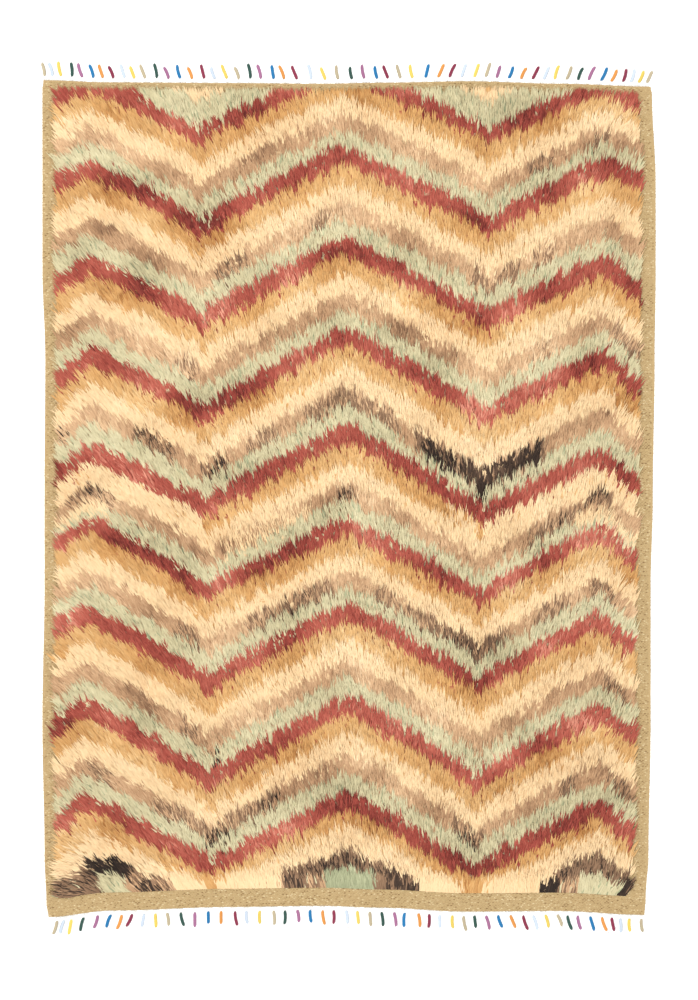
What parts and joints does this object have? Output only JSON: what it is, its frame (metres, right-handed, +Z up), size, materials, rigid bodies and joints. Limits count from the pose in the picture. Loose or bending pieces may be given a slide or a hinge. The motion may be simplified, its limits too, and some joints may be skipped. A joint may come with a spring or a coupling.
{
  "type": "berber rug",
  "caption": "Rectangular shag rug of knotted wool with zigzag bands, a plain woven border and a fringe of thread-wrapped tassels at both ends.",
  "frame": {"origin": "on the floor, under the middle of the rug's whole width and length", "axes": "+X across the rug, +Y along it towards the end that the nap points to, +Z up out of the pile"},
  "size_m": [1.7128, 2.4446, 0.0268],
  "materials": {
    "ground_wool": "flat-woven undyed tan wool",
    "pile_wool": "long knotted wool pile in zigzag bands of red, ochre, cream, taupe and sage",
    "fringe_yarn": "white warp yarn, wrapped with coloured thread"
  },
  "bodies": {
    "root": {"woven_ground": "ground_wool", "shag_pile": "pile_wool", "fringe_top_end": "fringe_yarn", "fringe_bottom_end": "fringe_yarn"}
  },
  "joints": []
}
